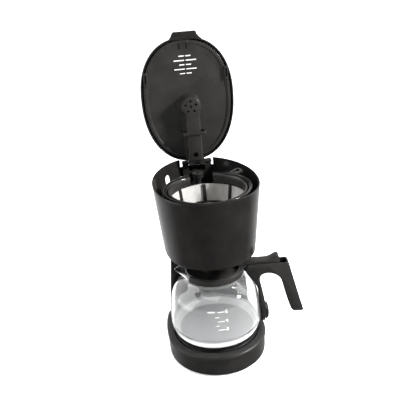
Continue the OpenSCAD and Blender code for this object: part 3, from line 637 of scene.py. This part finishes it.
def build_lid_liner():
    """Ring band, step, and a panel whose edge slopes away at the front."""
    def mixed(z, inset, t):
        near = egg(inset, 1.0, **LID)
        panel = dict(LID, f=LID["f"] - 8 * t, nf=lerp(2.3, 2.2, t))
        far = egg(inset, 1.0, **panel)
        return [(x, y, z) for x, y in (far if t else near)]
    levels = [(4.6, 4.2, 0), (4.6, 1.7, 0), (4.8, 1.35, 0), (5.2, 1.2, 0), (8.7, 1.2, 0), (9.1, 1.32, 0),
              (9.35, 1.7, 0), (9.5, 2.2, 0), (9.8, 2.35, 0.12), (10.6, 2.6, 0.5), (11.3, 2.85, 0.85),
              (11.8, 3.02, 0.97), (12.4, 3.05, 1), (14.0, 3.05, 1), (30.0, 3.05, 1), (56.0, 3.05, 1)]
    rings = [mixed(LID_Z + z, inset, t) for inset, z, t in levels]
    verts, faces = loft(rings, False, True)
    top, top_faces = loft([lid_ring(LID_Z + 4.2, i) for i in (60.0, 30.0, 4.6)], True, False)
    base = len(verts)
    faces += [tuple(base + v for v in f) for f in top_faces]
    liner = make("lid_liner_skin", verts + top, faces, LINER, "lid", ("lid_liner",), "satin_black",
                 LID_POSE, angle=50)
    cut(liner, steam_cutters(), angle=50)
    for i, x in enumerate((-6.0, 5.0)):
        rib = make("lid_rib_%d" % i, *box_mesh((x, HINGE_Y - 184, LID_Z + 0.7), (x + 1.4, HINGE_Y - 173, PANEL_Z)),
                   LINER, "lid", (), "satin_black", LID_POSE)
        bevel(rib, 0.35, 2)
    for i, s in enumerate((-1, 1)):
        x = s * (LID["a"] - 9.4)
        clip = make("lid_clip_%d" % i, *box_mesh((x - 3, HINGE_Y - 142, LID_Z - 1.2), (x + 3, HINGE_Y - 122, PANEL_Z)),
                    LINER, "lid", (), "satin_black", LID_POSE)
        cut(clip, [cutter_box((x - 1.4, HINGE_Y - 138, LID_Z - 2.2), (x + 1.4, HINGE_Y - 126, LID_Z + 1.2), LID_POSE)])
        bevel(clip, 0.4, 2)
    return liner


def arm_outline(r, w):
    """Plan of the arm: round head and straight shank."""
    lo, hi = SHANK_X - w, SHANK_X + w
    dl, dr = lo - ARM_X, hi - ARM_X
    yl = HEAD_Y + math.sqrt(r * r - dl * dl)
    yr = HEAD_Y + math.sqrt(r * r - dr * dr)
    out = [(lo, lerp(ROOT_Y, yl, k / 6)) for k in range(6)]
    a0 = math.atan2(yl - HEAD_Y, dl)
    a1 = math.atan2(yr - HEAD_Y, dr)
    span = (2 * math.pi - a0) + a1
    for k in range(61):
        a = a0 + span * k / 60
        out.append((ARM_X + r * math.cos(a), HEAD_Y + r * math.sin(a)))
    out += [(hi, lerp(yr, ROOT_Y, k / 6)) for k in range(1, 7)]
    return out


def build_arm():
    levels = [(PANEL_Z, 18.6, 14.6), (PANEL_Z - 3, 17.2, 13.0), (PANEL_Z - 7, 16.0, 11.7),
              (PANEL_Z - 12, 15.1, 10.8), (ARM_Z + 1.5, 14.6, 10.3), (ARM_Z + 0.5, 14.4, 10.05),
              (ARM_Z + 0.05, 14.1, 9.8), (ARM_Z - 0.2, 13.5, 9.3)]
    rings = [[(x, y, z) for x, y in arm_outline(r, w)] for z, r, w in levels]
    verts, faces = loft(rings)
    arm = make("arm_skin", verts, faces, LINER, "lid", ("spout_arm", "shower_plate"), "satin_black", LID_POSE,
               angle=38)
    holes = [(ARM_X, HEAD_Y)]
    for i in range(5):
        a = math.radians(-90 + 72 * i)
        holes.append((ARM_X + 8.2 * math.cos(a), HEAD_Y + 8.2 * math.sin(a)))
    cutters = [cutter_rod((x, y, ARM_Z), (0, 0, 1), 1.75, 12, LID_POSE) for x, y in holes]
    cutters.append(cutter_rod((SHANK_X, RISER_Y, ARM_Z), (0, 0, 1), 4.0, 14, LID_POSE))
    cut(arm, cutters, angle=38)
    y = HINGE_Y - 47
    bridge = [(CLIP_X - 16.9, PANEL_Z - 0.02), (CLIP_X - 16.9, ARM_Z - 1.2), (CLIP_X - 16.0, ARM_Z - 2.2),
              (CLIP_X + 16.0, ARM_Z - 2.2), (CLIP_X + 16.9, ARM_Z - 1.2), (CLIP_X + 16.9, PANEL_Z - 0.02),
              (CLIP_X + 14.9, PANEL_Z - 0.02), (CLIP_X + 14.9, ARM_Z - 0.3), (CLIP_X - 14.9, ARM_Z - 0.3),
              (CLIP_X - 14.9, PANEL_Z - 0.02)]
    clip = make("arm_bridge", *prism(bridge, y - 2.6, y + 2.6, "Y"), LINER, "lid", ("arm_clip",), "satin_black",
                LID_POSE)
    bevel(clip, 0.45, 2)
    return arm


# ---------- basket and filter ----------
NOTCH = [(-17, 300), (-17, 247), (18, 247), (18, 300)]


def notch_cutter():
    return make("cutter", *prism(NOTCH, 30, 92, "Y"), BLACK, None)


def build_basket():
    profile = [(57.5, 262.3), (57.9, 262.9), (58.8, 263.3), (60.2, 263.4), (60.6, 263.6), (60.75, 264.5),
               (60.95, 264.9), (61.3, 265.0), (61.7, 264.9), (61.95, 264.6), (62.0, 264.0), (62.0, 263.4),
               (61.7, 263.1), (61.2, 263.0), (57.9, 262.2), (57.6, 260), (52.5, 216.2),
               (51.6, 213.8), (50.0, 213.0), (11.4, 203.4), (9.6, 202.8), (9.0, 201.8), (9.0, 184.6),
               (8.6, 184.0), (7.6, 184.0), (7.2, 184.4), (7.2, 198), (4.4, 198), (4.4, 199.6), (7.2, 199.6),
               (9.6, 204.8), (48.4, 214.6), (49.8, 215.3), (50.6, 217.2), (55.2, 258.0), (55.7, 259.2),
               (56.3, 259.6), (56.5, 260.4), (56.9, 261.8)]
    verts, faces = lathe(profile, 160, closed=True)
    basket = make("basket_skin", verts, faces, DARK, "basket", ("filter_basket",), "satin_black", angle=40)
    cut(basket, [notch_cutter()], angle=40)
    for k in range(4):
        turn = Matrix.Rotation(math.radians(45 + 90 * k), 4, "Z")
        rib = make("basket_rib_%d" % k, *box_mesh((28, -1, 211.4), (47, 1, 220.6)), LINER, "basket", (),
                   "satin_black", turn)
        bevel(rib, 0.4, 2)
    loops = []
    for shrink in (0.0, 2.3):
        ring = []
        for cx, cy, a0, a1 in ((45, 45, 170, 130), (56, 55, 110, 20), (57, 48, 20, -50)):
            for k in range(9):
                a = math.radians(lerp(a0, a1, k / 8))
                r = 4 - shrink
                ring.append((cx + r * math.cos(a) - shrink * 0.3, cy + r * math.sin(a) - shrink * 0.3))
        loops.append(ring)
    loops[0] += [(60.9 * math.cos(math.radians(a)), 60.9 * math.sin(math.radians(a))) for a in range(37, 52, 3)]
    tab = make("basket_tab", *prism(loops[0], 263.3, 266.2), LINER, "basket", (), "satin_black")
    hole = [p for p in loops[1] if math.hypot(*p) > 62.4]
    hole += [(62.4 * math.cos(math.radians(a)), 62.4 * math.sin(math.radians(a))) for a in (42, 44, 46)]
    cut(tab, [make("cutter", *prism(hole, 250, 280), BLACK, None)])
    bevel(tab, 0.5, 3)
    return basket


def build_filter():
    top, bottom = 249.95, 222.1
    rows = []
    for k in range(9):
        t = k / 8
        rows.append((lerp(53.1, 49.2, t), lerp(top, bottom + 0.5, t)))
    rows += [(48.4, bottom)] + [(48.0 * (1 - k / 6), bottom) for k in range(1, 7)]
    inner = [(max(r - 0.35, 0), z + (0.0 if i == 0 else 0.35)) for i, (r, z) in enumerate(rows)][::-1]
    verts, faces = lathe(rows + inner, 192, closed=True)
    moved = []
    for x, y, z in verts:
        r = math.hypot(x, y)
        a = math.atan2(y, x) - math.radians(FIRST_RIB)
        sag = 0.35 * (0.5 - 0.5 * math.cos(8 * a)) if r > 47.5 and z > bottom + 0.8 else 0.0
        k = (r - sag) / r if r > 1 else 1.0
        moved.append((x * k, y * k, z))
    make("filter_weave_skin", moved, faces, WEAVE, "filter", ("filter_mesh",), "mesh_grey", angle=50)
    collar = [(52.5, 262.0), (52.8, 262.5), (53.4, 262.6), (54.6, 262.6), (55.1, 262.4), (55.2, 261.9),
              (53.6, 250.2), (53.2, 250.0), (52.2, 250.0), (51.9, 250.4), (51.8, 252.2), (51.3, 252.7),
              (51.3, 253.5), (51.9, 254.0), (52.0, 256.2), (51.6, 256.7), (51.6, 257.4), (52.2, 257.9)]
    frame_piece = make("filter_collar", *lathe(collar, 160, closed=True), LINER, "filter", ("filter_frame",),
                       "satin_black", angle=40)
    cut(frame_piece, [notch_cutter()], angle=40)
    base = [(49.2, 221.3), (49.0, 221.0), (45.2, 221.0), (45.0, 221.3), (45.0, 221.9), (45.4, 222.06),
            (45.8, 222.5), (45.8, 224.6), (46.2, 224.9), (48.0, 224.9), (48.4, 224.5), (48.5, 222.2),
            (49.0, 222.06)]
    make("filter_foot", *lathe(base, 128, closed=True), LINER, "filter", (), "satin_black", angle=40)
    for k in range(8):
        line = [(52.7, 250.02), (50.9, 250.02), (46.8, 222.7), (48.5, 222.7)]
        rib = make("filter_rib_%d" % k, *prism(line, -2.4, 2.4, "Y"), LINER, "filter", (), "satin_black",
                   Matrix.Rotation(math.radians(FIRST_RIB + 45 * k), 4, "Z"))
        bevel(rib, 0.5, 2)
    for k in range(2):
        bar = make("filter_bar_%d" % k, *box_mesh((-46, -1.4, 221), (46, 1.4, 222.05)), LINER, "filter", (),
                   "satin_black", Matrix.Rotation(math.radians(20 + 90 * k), 4, "Z"))
        bevel(bar, 0.3, 2)


# ---------- jug ----------
GLASS_PROFILE = [(54, 35), (58.2, 36.6), (61.4, 39.6), (63.8, 43.4), (65.6, 47.5), (66.9, 52), (67.5, 57),
                 (67.3, 65), (66.7, 74), (65.9, 83), (64.9, 92), (63.4, 100), (60.4, 107.2), (56.2, 112.8),
                 (51.2, 117.2), (46.6, 120.6), (44.1, 122.8), (43.0, 125), (NECK_R, 127.4)]
LOBE_D, LOBE_R = 49.5, 8.0


def spout_radius(angle, radius, lobe):
    """Plan of the mouth: a circle drawn out to a rounded spout at angle 180 degrees."""
    a = abs(angle % (2 * math.pi) - math.pi)
    tangent = math.acos((radius - lobe) / LOBE_D)
    touch = math.atan2(lobe * math.sin(tangent), LOBE_D + lobe * math.cos(tangent))
    if a < touch:
        return LOBE_D * math.cos(a) + math.sqrt(max(lobe ** 2 - (LOBE_D * math.sin(a)) ** 2, 0))
    if a < tangent:
        return radius / math.cos(tangent - a)
    return radius


def neck_ring(z, inset, segs):
    u = min(max((z - 127.4) / (MOUTH_Z - 127.4), 0), 1)
    out = []
    for k in range(segs):
        a = 2 * math.pi * k / segs
        full = spout_radius(a, NECK_R - inset, LOBE_R - inset)
        r = lerp(NECK_R - inset, full, u)
        out.append((r * math.cos(a), r * math.sin(a), z))
    return out


def build_glass():
    segs = 200
    outer = smooth_line(GLASS_PROFILE, 4)
    inner = []
    for i, (r, z) in enumerate(outer):
        a, b = outer[max(i - 1, 0)], outer[min(i + 1, len(outer) - 1)]
        dr, dz = b[0] - a[0], b[1] - a[1]
        n = math.hypot(dr, dz)
        wall = lerp(4.6, GLASS_WALL, min(max((z - 36) / 20, 0), 1))
        inner.append((r - wall * dz / n, z + wall * dr / n))
    inner = [p for p in inner if p[1] > 42.0]

    def circle(r, z):
        return [(r * math.cos(2 * math.pi * k / segs), r * math.sin(2 * math.pi * k / segs), z)
                for k in range(segs)]
    rings = [circle(0.5, 36.2), circle(26, 36.1), circle(49, 35.8), circle(51.5, 35.3), circle(53, 35.02)]
    rings += [circle(r, z) for r, z in outer]
    heights = [128.6, 130, 132, 134, 136, 137.6, 138.8, 139.3]
    rings += [neck_ring(z, 0.0, segs) for z in heights]
    rings += [neck_ring(MOUTH_Z, 0.5, segs), neck_ring(MOUTH_Z, 1.6, segs), neck_ring(139.2, 2.1, segs)]
    rings += [neck_ring(z, GLASS_WALL, segs) for z in reversed(heights[:-1])]
    rings += [circle(r, z) for r, z in reversed(inner)]
    rings += [circle(54.5, 40.2), circle(50, 39.3), circle(30, 39.5), circle(0.5, 39.6)]
    verts, faces = loft(rings)
    return make("jug_glass", verts, faces, GLASS, "carafe", ("carafe_glass",), "clear_glass", TURN, angle=60)


def glass_radius(z):
    line = GLASS_PROFILE
    for (r0, z0), (r1, z1) in zip(line, line[1:]):
        if z0 <= z <= z1:
            return lerp(r0, r1, (z - z0) / (z1 - z0))
    return line[-1][0]


def build_marks():
    """Level ticks and plain numbers printed on the front of the jug."""
    verts, faces = [], []

    def patch(u0, u1, z0, z1):
        base = len(verts)
        steps = max(2, int(abs(u1 - u0) / 1.0) + 1)
        for z, lift in ((z0, 0.04), (z1, 0.04), (z1, 0.16), (z0, 0.16)):
            for k in range(steps + 1):
                r = glass_radius(z) + lift
                a = math.radians(-90) + lerp(u0, u1, k / steps) / glass_radius(z)
                verts.append((r * math.cos(a), r * math.sin(a), z))
        row = steps + 1
        for q in range(4):
            for k in range(steps):
                p, s = base + q * row, base + ((q + 1) % 4) * row
                faces.append((p + k, p + k + 1, s + k + 1, s + k))
        for k in (0, steps):
            faces.append(tuple(base + q * row + k for q in range(4)))

    segments = {"2": "abged", "4": "fgbc", "6": "afgedc"}

    def digit(u, z, shape, w=2.6, h=4.6, t=0.7):
        bars = {"a": (0, w, h - t, h), "d": (0, w, 0, t), "g": (0, w, h / 2 - t / 2, h / 2 + t / 2),
                "f": (0, t, h / 2, h), "e": (0, t, 0, h / 2), "b": (w - t, w, h / 2, h),
                "c": (w - t, w, 0, h / 2)}
        for key in segments[shape]:
            u0, u1, z0, z1 = bars[key]
            patch(u + u0, u + u1, z + z0, z + z1)
    for i, (z, name) in enumerate(((73, "2"), (86, "4"), (100, "6"))):
        patch(1, 11, z, z + 0.8)
        digit(12.6, z - 1.6, name)
    for z in (79.5, 92.5):
        patch(-3, 3, z, z + 0.8)
    patch(-13, -3, 100, 101.6)
    return make("level_marks", verts, faces, PRINT, "carafe", (), "white_plastic", TURN)


def build_collar():
    start, sweep = 218.0, 284.0
    profile = [(NECK_R + 0.02, 130.9), (NECK_R + 0.4, 130.6), (NECK_R + 2.0, 130.6), (NECK_R + 2.5, 130.8),
               (NECK_R + 2.9, 131.8), (NECK_R + 3.0, 132.6), (NECK_R + 3.0, 138.8), (NECK_R + 2.9, 139.6),
               (NECK_R + 2.5, 140.2), (NECK_R + 2.0, 140.4), (NECK_R + 0.4, 140.4), (NECK_R + 0.02, 140.1)]
    verts, faces = lathe(profile, 150, start, sweep, True)
    collar = make("collar_skin", verts, faces, GRIP, "carafe", ("collar_band",), "satin_black", TURN, angle=40)
    cut(collar, [cutter_box((NECK_R - 1, -8.4, 136.5), (NECK_R + 8, 8.4, 144.5), TURN)], angle=40)
    return collar


HANDLE_LINE = [(54, 119.5), (58.8, 113), (62.6, 106.5), (65.4, 96), (66.6, 82), (67.2, 66), (66.7, 48.5),
               (67.4, 46.2), (69.2, 45.6), (73.0, 45.7), (74.3, 46.6), (75.4, 60), (75.2, 71), (73.8, 84),
               (71.2, 99), (68.4, 113), (68.2, 118.5), (70, 123), (74.8, 125.9), (81.5, 126.3),
               (88.2, 124.4), (94.5, 120.6), (99, 114.6), (103, 100.5), (107, 84), (112.6, 66),
               (115.0, 60.8), (118.0, 58.7), (121.5, 58.2), (128.6, 58), (130.9, 58.3), (132.2, 59.4),
               (132.3, 61.4), (126.4, 82.4), (120.5, 105), (115, 125.8), (112.4, 137), (111.4, 139.8),
               (109.8, 141.4), (107.2, 142), (80, 142), (54.8, 142), (51.6, 141.4), (49.5, 140.0),
               (48.5, 137.6), (47.6, 131.4), (50.6, 125)]


def build_handle():
    line = even_spread(smooth_line(HANDLE_LINE, 5, True), 220)
    hw = 10.0
    rings = []
    for y, k in ((-hw, 0.9), (-hw + 0.25, 0.4), (-hw + 0.9, 0.0), (hw - 0.9, 0.0), (hw - 0.25, 0.4), (hw, 0.9)):
        ring = []
        for i, (x, z) in enumerate(line):
            a, b = line[i - 1], line[(i + 1) % len(line)]
            dx, dz = b[0] - a[0], b[1] - a[1]
            n = math.hypot(dx, dz) or 1
            ring.append((x + k * dz / n * WIND, y, z - k * dx / n * WIND))
        rings.append(ring)
    verts, faces = loft(rings)
    handle = make("handle_skin", verts, faces, GRIP, "carafe", ("carafe_handle",), "satin_black", TURN, angle=40)
    channel = [(43, 141), (49.5, 139.6), (100, 120.6), (104.5, 120.6), (106.5, 112), (112, 112),
               (109.4, 140.4), (106, 150), (43, 150)]
    trough = make("cutter", *prism(channel, -8.4, 8.4, "Y"), BLACK, None, pose=TURN)
    clear = [(0, 30), (20, 30)] + [(r + 0.5, z) for r, z in GLASS_PROFILE] + [
        (NECK_R + 0.5, 130.5), (NECK_R + 3.02, 130.5), (NECK_R + 3.02, 150), (0, 150)]
    verts, faces = lathe(clear, 160)
    room = make("cutter", verts, faces, BLACK, None, pose=TURN)
    cut(handle, [trough, room], angle=40)
    tongue = make("handle_tongue", *box_mesh((NECK_R + 3.05, -9.2, 131.6), (52, 9.2, 136.3)), GRIP, "carafe", (),
                  "satin_black", TURN)
    bevel(tongue, 0.5, 2)
    profile = [(0.0, 80.4), (7.5, 80.2), (10.2, 79.6), (11.6, 78.6), (12.9, 76.8), (13.3, 75.6), (0.0, 75.6)]
    verts, faces = lathe(profile, 96)
    turn = TURN @ Matrix.Translation((0, 0, 58)) @ Matrix.Rotation(math.radians(90), 4, "Y")
    cap = make("handle_boss", verts, faces, GRIP, "carafe", ("handle_cap",), "satin_black", turn, angle=40)
    sides = [cutter_box((70, s * 9.7 - 5 * (s < 0), 30), (90, s * 9.7 + 5 * (s > 0), 90), TURN) for s in (-1, 1)]
    slots = [cutter_box((79.0, y - 1.1, 53.5), (90, y + 1.1, 62.5), TURN) for y in (-4.2, 4.2)]
    cut(cap, sides + slots, angle=40)
    bevel(cap, 0.3, 2, 50)
    return handle


def build_hot_plate():
    disc = [(0.0, 34.4), (46.5, 34.4), (47.2, 34.34), (47.4, 34.2), (47.4, 33.2), (0.0, 33.2)]
    make("plate_disc", *lathe(disc, 128), PLATE, "machine", ("hot_plate",), "plate_coat", angle=40)
    skirt = [(47.5, 33.2), (47.5, 34.15), (47.7, 34.34), (48.2, 34.4), (51.0, 34.4), (52.6, 33.75), (53.4, 33.7),
             (60.8, 33.7), (61.5, 33.5), (61.9, 33.0), (62.0, 32.4), (62.0, 29.8), (60.6, 29.8), (60.6, 32.2),
             (52.0, 32.2), (50.0, 33.0)]
    make("plate_skirt", *lathe(skirt, 160, closed=True), ENAMEL, "machine", (), "plate_coat", angle=40)


def build_jug_lid():
    profile = smooth_line([(0.0, 138.0), (8.0, 138.1), (10.2, 138.9), (11.6, 142.0), (12.8, 143.5), (14.2, 143.95),
                           (15.6, 143.7), (16.3, 142.6), (15.9, 140.0), (15.8, 137.6), (17.2, 136.6),
                           (24.0, 136.2), (35.6, 135.8), (37.4, 136.2), (38.2, 137.4), (38.5, 139.2),
                           (39.0, 139.6), (39.55, 139.3), (39.6, 138.0), (39.5, 134.6), (38.9, 133.8),
                           (37.4, 133.6), (20.0, 133.6), (0.0, 133.6)], 3)
    profile = [(max(r, 0.0), min(max(z, 133.6), 144.0)) for r, z in profile]
    verts, faces = lathe(profile, 144)
    lid = make("jug_lid", verts, faces, GRIP, "carafe_cover", ("carafe_lid",), "satin_black", TURN, angle=45)
    link = [(36.6, 136.8), (39.6, 136.8), (39.6, 140.1), (44.6, 140.1), (44.6, 142.8), (37.6, 142.8),
            (36.6, 141.8)]
    bridge = make("jug_lid_link", *prism(link, -8, 8, "Y"), GRIP, "carafe_cover", (), "satin_black", TURN)
    bevel(bridge, 0.4, 2)
    line = [(44.62, 140.9), (44.62, 143.2), (46.5, 144.2), (50, 145.6), (53.5, 146.3), (58, 146.5), (66, 146.5),
            (74, 146.5), (78, 146.6), (81.6, 147.2), (85, 148.3), (89, 150.6), (92.0, 152.2), (93.9, 152.75),
            (95.6, 152.5), (96.8, 151.5), (97.5, 149.9), (98.1, 143.2), (98.0, 142.2), (97.3, 141.8),
            (92, 141.8), (60, 141.8), (52, 141.5), (50, 141.4), (47, 139.4), (44.62, 138.2)]
    lever = make("jug_lever", *prism(line, -8, 8, "Y"), GRIP, "carafe_cover", ("lid_lever",), "satin_black", TURN,
                 angle=34)
    bevel(lever, 0.7, 3, 60, 34)
    return lid


area = sum(a[0] * b[1] - b[0] * a[1] for a, b in zip(HANDLE_LINE, HANDLE_LINE[1:] + HANDLE_LINE[:1]))
WIND = -1.0 if area > 0 else 1.0
build_drum()
build_plinth()
build_plate_ring()
build_hot_plate()
build_column()
build_lid_shell()
build_lid_liner()
build_arm()
build_basket()
build_filter()
build_glass()
build_marks()
build_collar()
build_handle()
build_jug_lid()


# ---------- studio ----------
def build_studio():
    scene = bpy.context.scene
    floor_mat, tree, shader, coords = new_material("pale_floor")
    cloud = noise_node(tree, coords, 3, 2)
    tree.links.new(ramp(tree, cloud.outputs["Fac"], (0.90, 0.90, 0.90), (0.93, 0.93, 0.93)),
                   shader.inputs["Base Color"])
    shader.inputs["Roughness"].default_value = 0.9
    shader.inputs["Specular IOR Level"].default_value = 0.1
    # The floor glows white, but less within 0.2 m of the machine than from 0.75 m out: painted shade round the base on
    # a bright floor.
    shader.inputs["Emission Color"].default_value = (1, 1, 1, 1)
    painted_shade_reach = tree.nodes.new("ShaderNodeVectorMath")
    painted_shade_reach.operation = "LENGTH"
    tree.links.new(coords.outputs["Object"], painted_shade_reach.inputs[0])
    tree.links.new(spread(tree, painted_shade_reach.outputs["Value"], 0.42, 1.1, 0.2, 0.75), shader.inputs["Emission Strength"])
    size = 6.0
    mesh = bpy.data.meshes.new("floor")
    mesh.from_pydata([(-size, -size, 0), (size, -size, 0), (size, size, 0), (-size, size, 0)], [], [(0, 1, 2, 3)])
    floor = bpy.data.objects.new("floor", mesh)
    scene.collection.objects.link(floor)
    mesh.materials.append(floor_mat)
    floor.visible_glossy = False
    world = bpy.data.worlds.new("studio")
    scene.world = world
    world.use_nodes = True
    sky = world.node_tree
    back = sky.nodes["Background"]
    where = sky.nodes.new("ShaderNodeTexCoord")
    axis = sky.nodes.new("ShaderNodeSeparateXYZ")
    sky.links.new(where.outputs["Generated"], axis.inputs["Vector"])
    high = sky.nodes.new("ShaderNodeMath")
    high.operation = "ABSOLUTE"
    sky.links.new(axis.outputs["Z"], high.inputs[0])
    most = sky.nodes.new("ShaderNodeMath")
    most.operation = "MAXIMUM"
    sky.links.new(spread(sky, axis.outputs["Y"], 0.05, 1.0, 0.05, 0.5), most.inputs[0])
    sky.links.new(spread(sky, high.outputs["Value"], 1.0, 0.0, 0.1, 0.2), most.inputs[1])
    sky.links.new(most.outputs["Value"], back.inputs["Color"])
    back.inputs["Strength"].default_value = 1.05
    lamps = [("side_left", (-0.85, 0.05, 0.45), (0.9, 1.2), 11.0), ("side_right", (0.95, 0.2, 0.45), (0.6, 1.2), 6.0),
             ("key", (0.85, -0.32, 0.8), (0.16, 0.16), 34.0), ("top", (-0.1, -0.1, 1.4), (0.9, 0.9), 7.0)]
    for name, place, (w, h), power in lamps:
        lamp = bpy.data.lights.new(name, "AREA")
        lamp.shape = "RECTANGLE"
        lamp.size, lamp.size_y = w, h
        lamp.energy = power
        holder = bpy.data.objects.new(name, lamp)
        scene.collection.objects.link(holder)
        holder.location = place
        aim = Vector((0, 0.02, 0.2)) - Vector(place)
        holder.rotation_euler = aim.to_track_quat("-Z", "Y").to_euler()
    scene.view_settings.view_transform = "Standard"
    scene.view_settings.look = "None"
    camera_data = bpy.data.cameras.new("camera")
    camera_data.lens = 50.99
    camera_data.sensor_width = 36
    camera_data.clip_end = 20
    camera_data.shift_x = -0.0015
    camera = bpy.data.objects.new("camera", camera_data)
    scene.collection.objects.link(camera)
    right = Vector((0.9811, -0.1836, -0.0609)).normalized()
    ahead = Vector((0.1460, 0.9094, -0.3895))
    ahead = (ahead - right * ahead.dot(right)).normalized()
    up = right.cross(ahead)
    turn = Matrix((right, up, -ahead)).transposed().to_4x4()
    camera.matrix_world = Matrix.Translation(Vector((-0.12162, -0.75463, 0.55617))) @ turn
    scene.camera = camera


build_studio()
